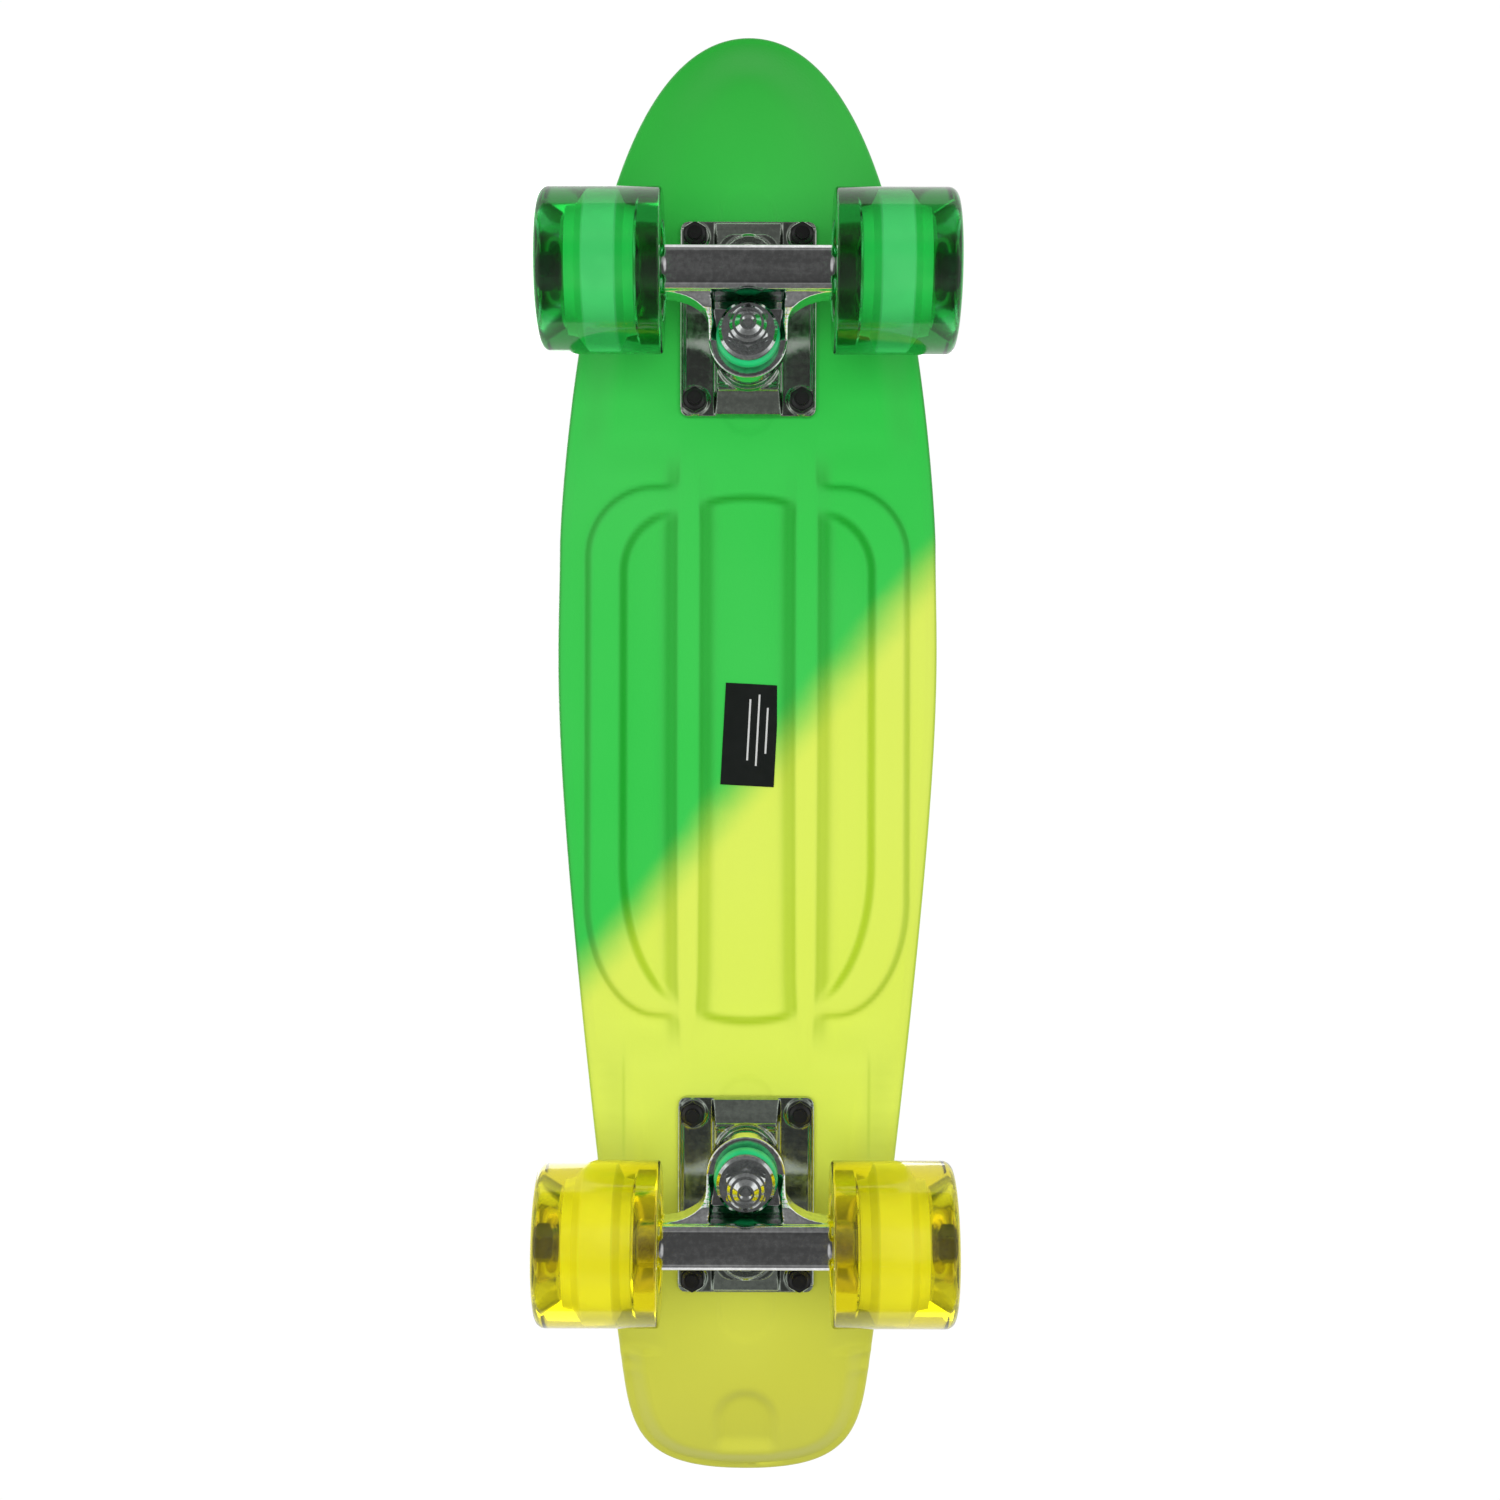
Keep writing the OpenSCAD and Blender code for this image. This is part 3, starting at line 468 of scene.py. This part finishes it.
def underThickness(x, y, edge):
    d = deckShape
    ax = np.abs(x)
    mid = 1 - smoothStep(103, 126, ax)            # 1 between the trucks
    rimWidth = np.where(x > 200, 26.0, np.where(x < -235, 11.0, 20.0))
    wide = d["rimThick"] + (d["thick"] - d["rimThick"]) * smoothStep(1.0, rimWidth, edge)
    level = d["thick"] - (d["thick"] - d["sideRib"]) * mid
    # the C-shaped side ribs lie between these two curves
    outer = cornerDistance(x, y, (76, 36, 29, 28), (-58, 34, 47, 30), 64)
    inner = cornerDistance(x, y, (70, 28, 25, 22.6), (-44, 22, 57, 28.6), 50.6)
    outer = np.where(np.abs(y) < d["ribAt"], np.maximum(outer, 6.0), outer)
    narrow = d["rimThick"] + (level - d["rimThick"]) * smoothStep(-1.5, 4.0, outer)
    narrow = np.maximum(narrow, np.minimum(wide, d["rimThick"] + 0.6))
    t = narrow * mid + wide * (1 - mid)
    t = t - (t - d["pocket"]) * smoothStep(-0.6, 4.6, inner) * smoothStep(0.0, 0.3, mid)
    # recessed middle panel with rounded ends
    endIn = np.where(x > 0, 101.5 - x, x + 107.5) - 1.6 * (y / 14.5) ** 2
    t = t - (t - d["panel"]) * smoothStep(0.0, 4.5, endIn) * smoothStep(-1.5, 1.5, 22.0 - np.abs(y))
    # two long ribs
    half = d["ribHalf"] - 0.6 * smoothStep(0, 120, -x) - 1.8 * smoothStep(84, 134, ax)
    away = np.maximum(np.abs(np.abs(y) - d["ribAt"]) - half + 0.5, 0)
    fall = np.where(np.abs(y) < d["ribAt"], 4.2, 4.4)
    ribMask = np.exp(-away * away / ((away + 1.0) * fall)) * smoothStep(140, 124, ax)
    ribMask = ribMask * smoothStep(10.5, 3, away)
    t = t + (np.maximum(d["thick"], t) - t) * ribMask
    # faint pad step by the rear truck
    step = smoothStep(-165, -155, x) * (1 - smoothStep(-124, -112, x))
    t = t - 0.45 * step * smoothStep(0.0, 1.6, np.abs(y) - 47.0)
    # shallow stadium under each truck
    for centre, half in ((172.0, 37.5), (-178.3, 40.5)):
        run = np.maximum(np.abs(x - centre) - half, 0)
        t = t - 0.5 * smoothStep(-0.6, 0.6, 10.6 - np.sqrt(run ** 2 + y ** 2))
    # thumb scoop
    dome = np.sqrt(np.maximum(x + 263.5, 0) ** 2 + y ** 2)
    scoop = smoothStep(0.0, 6.0, 14.2 - dome) * smoothStep(-280.0, -271.5, x)
    t = t - 3.0 * scoop
    return t


def makeDeck():
    d = deckShape
    outline = deckOutline()
    tangent = np.gradient(outline, axis=0)
    tangent /= np.linalg.norm(tangent, axis=1)[:, None]
    normal = np.stack([-tangent[:, 1], tangent[:, 0]], axis=1)     # turned inwards below
    normal[np.sum(normal * -outline, axis=1) < 0] *= -1
    inset = outline + normal * d["rimRound"]
    inset[0] = (outline[0][0] - d["rimRound"], 0)
    inset[-1] = (outline[-1][0] + d["rimRound"], 0)
    keep = [0]
    for i in range(1, len(inset)):
        if inset[i][0] < inset[keep[-1]][0] - 1e-4 and inset[i][1] >= 0:
            keep.append(i)
    inset = inset[keep]
    arc = np.concatenate([[0], np.cumsum(np.linalg.norm(np.diff(inset, axis=0), axis=1))])
    want = np.linspace(0, arc[-1], d["stations"])
    xs, ws = np.interp(want, arc, inset[:, 0]), np.interp(want, arc, inset[:, 1])
    ws[0] = ws[-1] = 0.0
    line = np.vstack([outline, outline[::-1] * (1, -1)])

    def edgeDistance(px, py):
        best = np.full(px.shape, 1e9)
        for i in range(0, len(line), 5):
            best = np.minimum(best, (px - line[i, 0]) ** 2 + (py - line[i, 1]) ** 2)
        return np.sqrt(best)

    def spreadColumns(count):
        base = np.linspace(-1, 1, count)
        grid = np.zeros((d["stations"], count))
        for i, w in enumerate(ws):
            y0 = base * d["width"]
            inner = 0.5 * w
            squeezed = inner + (np.abs(y0) - inner) * (w - inner) / (d["width"] - inner)
            grid[i] = np.where(np.abs(y0) <= inner, y0, np.sign(y0) * squeezed)
        return grid

    points, faces = [], []

    def sheet(count, height, flip):
        ys = spreadColumns(count)
        xx = np.repeat(xs[:, None], count, axis=1)
        zz = height(xx, ys)
        ids = np.zeros((d["stations"], count), int)
        for i in range(d["stations"]):
            if i in (0, d["stations"] - 1):
                ids[i, :] = len(points)
                points.append((xs[i], 0.0, zz[i, count // 2]))
                continue
            for j in range(count):
                ids[i, j] = len(points)
                points.append((xx[i, j], ys[i, j], zz[i, j]))
        for i in range(d["stations"] - 1):
            for j in range(count - 1):
                quad = []
                for k in (ids[i, j], ids[i, j + 1], ids[i + 1, j + 1], ids[i + 1, j]):
                    if k not in quad:
                        quad.append(k)
                if len(quad) > 2:
                    faces.append(quad[::-1] if flip else quad)
        ring = list(ids[:, -1]) + list(ids[-2:0:-1, 0])
        return ring

    def topHeight(x, y):
        return d["top"] - 0.8 + riseAt(x) - 0.3 * smoothStep(6.0, 3.0, edgeDistance(x, y))

    def underHeight(x, y):
        return d["top"] + riseAt(x) - underThickness(x, y, edgeDistance(x, y))

    topRing = sheet(d["topColumns"], topHeight, True)
    lowRing = sheet(d["columns"], underHeight, False)
    steps = 7
    rows = [topRing]
    # outward direction at each ring point
    flat = np.array([points[k][:2] for k in topRing])
    run = np.roll(flat, -1, axis=0) - np.roll(flat, 1, axis=0)
    run /= np.linalg.norm(run, axis=1)[:, None]
    away = np.stack([run[:, 1], -run[:, 0]], axis=1)
    if np.sum(away * flat) < 0:
        away = -away
    for s in range(1, steps):
        a = math.pi * s / steps
        row = []
        for k in range(len(topRing)):
            zt, zl = points[topRing[k]][2], points[lowRing[k]][2]
            mid, half = (zt + zl) / 2, (zt - zl) / 2
            out = (d["rimRound"] - 0.02) * math.sin(a) ** 0.8
            row.append(len(points))
            px, py = flat[k] + away[k] * out
            points.append((px, py, mid + half * math.cos(a)))
        rows.append(row)
    rows.append(lowRing)
    for a, b in zip(rows, rows[1:]):
        for k in range(len(a)):
            n = (k + 1) % len(a)
            faces.append((a[k], b[k], b[n], a[n]))
    obj = newObject("deckShell", [(p[0] * mm, p[1] * mm, p[2] * mm) for p in points], faces)
    pick(obj)
    bpy.ops.object.mode_set(mode="EDIT")
    bpy.ops.mesh.select_all(action="SELECT")
    bpy.ops.mesh.normals_make_consistent(inside=False)
    bpy.ops.object.mode_set(mode="OBJECT")
    give(obj, "board", "deck_plastic", finishes["deck"], "deck")


makeDeck()
print("deck made")

# ---------- raised grip pattern on the standing face ----------

gripShape = {
    "pitch": 9.5, "half": 3.8, "corner": 1.3, "height": 0.8, "bevel": 0.35, "edgeGap": 10.0, "boltGap": 8.5,
    "boltHead": 4.8, "foot": 0.6,
}


def padRing(half, corner):
    # a square with round corners, twelve points anticlockwise
    c = half - corner
    ring = []
    for sx, sy, start in ((1, 1, 0), (-1, 1, 90), (-1, -1, 180), (1, -1, 270)):
        for a in np.radians((start, start + 45, start + 90)):
            ring.append((sx * c + corner * math.cos(a), sy * c + corner * math.sin(a)))
    return ring


def makeGripPads():
    g, d = gripShape, deckShape
    outline = deckOutline()[::10]
    line = np.vstack([outline, outline[::-1] * (1, -1)])
    bolts = []
    for end in ("front", "rear"):
        lo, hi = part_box(end + "_mounting_bolts")
        acrossX, acrossY = [(lo[k] / mm + g["boltHead"], hi[k] / mm - g["boltHead"]) for k in (0, 1)]
        bolts += [(x, y) for x in acrossX for y in acrossY]
    wide = padRing(g["half"], g["corner"])
    slim = padRing(g["half"] - g["bevel"], g["corner"] - g["bevel"] / 2)
    levels = ((wide, -g["foot"] - g["height"]), (wide, -g["bevel"]), (slim, 0.0))
    n = len(wide)
    points, faces = [], []
    reachX, reachY = int(d["length"] / g["pitch"]), int(d["width"] / g["pitch"])
    for i in range(-reachX, reachX + 1):
        for j in range(-reachY, reachY + 1):
            x, y = i * g["pitch"], j * g["pitch"]
            half = np.interp(-x, -outline[:, 0], outline[:, 1])
            near = np.min(np.hypot(line[:, 0] - x, line[:, 1] - y))
            byBolt = any(math.hypot(x - a, y - b) < g["boltGap"] for a, b in bolts)
            if abs(y) > half or near < g["edgeGap"] or byBolt:
                continue
            first = len(points)
            for ring, level in levels:
                for u, v in ring:
                    points.append((x + u, y + v, d["top"] + level + float(riseAt(np.array(x + u)))))
            for k in range(len(levels) - 1):
                for m in range(n):
                    a, b = first + k * n + m, first + k * n + (m + 1) % n
                    faces.append((a, b, b + n, a + n))
            faces.append(tuple(range(first + 2 * n, first + 3 * n)))
            faces.append(tuple(range(first + n - 1, first - 1, -1)))
    obj = newObject("deckGripPads", [Vector(p) * mm for p in points], faces, smooth=False)
    give(obj, "board", "deck_plastic", finishes["deck"])


makeGripPads()
print("grip pads made")

# ---------- wheels ----------

wheelShape = {
    "radius": 29.5, "half": 22.0, "edge": 3.5, "innerEdge": 1.0, "bury": 0.3, "turns": 128,
    "recessIn": 13.0, "recessOut": 18.5, "straight": 17.4,
    "coreHalf": 12.0, "coreR": 15.0, "flangeR": 19.0, "flangeHalf": 6.0,
    "bore": 11.0, "lip": 9.4, "seat": 5.0,
}


def spinRing(name, profile, centre, turns):
    # the profile holds (distance from the axle, place along it)
    points = [(centre[0] + r * mm, centre[1] + t * mm, centre[2]) for r, t in profile]
    mesh = bpy.data.meshes.new(name)
    n = len(points)
    mesh.from_pydata(points, [(i, (i + 1) % n) for i in range(n)], [])
    obj = bpy.data.objects.new(name, mesh)
    bpy.context.scene.collection.objects.link(obj)
    pick(obj)
    bpy.ops.object.mode_set(mode="EDIT")
    bpy.ops.mesh.select_all(action="SELECT")
    bpy.ops.mesh.spin(steps=turns, angle=2 * math.pi, center=centre, axis=(0, 1, 0))
    bpy.ops.mesh.select_all(action="SELECT")
    bpy.ops.mesh.remove_doubles(threshold=1e-6)
    bpy.ops.mesh.normals_make_consistent(inside=False)
    bpy.ops.object.mode_set(mode="OBJECT")
    obj.data.shade_smooth()
    bpy.ops.object.shade_smooth_by_angle(angle=math.radians(32))
    return obj


def arcPoints(cr, ct, radius, fromDeg, toDeg, count):
    return [(cr + radius * math.cos(math.radians(a)), ct + radius * math.sin(math.radians(a)))
            for a in np.linspace(fromDeg, toDeg, count)]


def tyreProfile(side):
    w = wheelShape
    h, b = w["half"], w["bury"]

    foot = (w["recessIn"], w["coreHalf"])
    # the street side opens as a cone, the truck side is a straight bore
    outside = [foot, (w["recessIn"] + 0.8, w["coreHalf"] + 1.2), (w["recessOut"] - 1.4, h - 1.6)]
    outside += arcPoints(w["recessOut"] + 0.6, h - 1.8, 1.8, 150, 90, 4)
    outside += arcPoints(w["radius"] - w["edge"], h - w["edge"], w["edge"], 90, 0, 9)
    inside = [foot, (w["straight"] - 0.6, w["coreHalf"] + 0.4), (w["straight"], w["coreHalf"] + 1.2)]
    inside += arcPoints(w["straight"] + 0.8, h - 0.8, 0.8, 180, 90, 4)
    inside += arcPoints(w["radius"] - w["innerEdge"], h - w["innerEdge"], w["innerEdge"], 90, 0, 6)
    right, left = (outside, inside) if side > 0 else (inside, outside)
    left = [(a, -t) for a, t in left[::-1]]
    core = [(w["recessIn"], -w["coreHalf"] + b), (w["coreR"] - b, -w["coreHalf"] + b),
            (w["coreR"] + 0.5 - b, -w["flangeHalf"] - 2.5), (w["flangeR"] - b, -w["flangeHalf"] + b),
            (w["flangeR"] - b, w["flangeHalf"] - b), (w["coreR"] + 0.5 - b, w["flangeHalf"] + 2.5),
            (w["coreR"] - b, w["coreHalf"] - b), (w["recessIn"], w["coreHalf"] - b)]
    return right + left + core


def coreProfile():
    w = wheelShape
    return [(w["bore"], -w["coreHalf"]), (w["coreR"], -w["coreHalf"]),
            (w["coreR"] + 0.5, -w["flangeHalf"] - 2.5), (w["flangeR"] - 0.6, -w["flangeHalf"]),
            (w["flangeR"], -w["flangeHalf"] + 0.6), (w["flangeR"], w["flangeHalf"] - 0.6),
            (w["flangeR"] - 0.6, w["flangeHalf"]), (w["coreR"] + 0.5, w["flangeHalf"] + 2.5),
            (w["coreR"], w["coreHalf"]), (w["bore"], w["coreHalf"]), (w["bore"], w["seat"]),
            (w["lip"], w["seat"]), (w["lip"], -w["seat"]), (w["bore"], -w["seat"])]


for end, tint in (("front", "Green"), ("rear", "Yellow")):
    for side, way in (("left", 1), ("right", -1)):
        name = f"{end}_{side}"
        lo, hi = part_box(name + "_tyre")
        centre = tuple((a + b) / 2 for a, b in zip(lo, hi))
        tyre = spinRing(name + "_clearTyre", tyreProfile(way), centre, wheelShape["turns"])
        give(tyre, name + "_wheel", "tyre_" + tint.lower(), finishes["tyre" + tint], name + "_tyre")
        core = spinRing(name + "_innerCore", coreProfile(), centre, wheelShape["turns"])
        give(core, name + "_wheel", "core_" + tint.lower(), finishes["core" + tint], name + "_core")
print("wheels made")

# ---------- cast truck pieces, with their edges softened ----------

castShape = {"hanger": {"voxel": 0.55, "soften": 3}, "baseplate": {"voxel": 0.5, "soften": 2}}


def softCast(nodeName, body, slotName, finish):
    d = castShape[nodeName.split("_")[-1]]
    source = nodes[nodeName]
    obj = source.copy()
    obj.data = source.data.copy()
    obj.name = obj.data.name = nodeName + "_cast"
    obj.parent = None
    obj.matrix_world = Matrix.Identity(4)
    bpy.context.scene.collection.objects.link(obj)
    pick(obj)
    bpy.ops.object.mode_set(mode="EDIT")
    bpy.ops.mesh.select_all(action="SELECT")
    bpy.ops.mesh.remove_doubles(threshold=1e-6)
    bpy.ops.object.mode_set(mode="OBJECT")
    useModifier(obj, "REMESH", mode="VOXEL", voxel_size=d["voxel"] * mm)
    useModifier(obj, "SMOOTH", factor=0.5, iterations=2)
    useModifier(obj, "SHRINKWRAP", target=source, wrap_method="NEAREST_SURFACEPOINT")
    useModifier(obj, "SMOOTH", factor=0.5, iterations=d["soften"])
    obj.data.shade_smooth()
    give(obj, body, slotName, finishes[finish], nodeName)


for end in ("front", "rear"):
    softCast(end + "_hanger", end + "_hanger", "cast_metal", "cast")
    softCast(end + "_baseplate", "board", "cast_metal", "castPlateShaded")
print("cast pieces made")
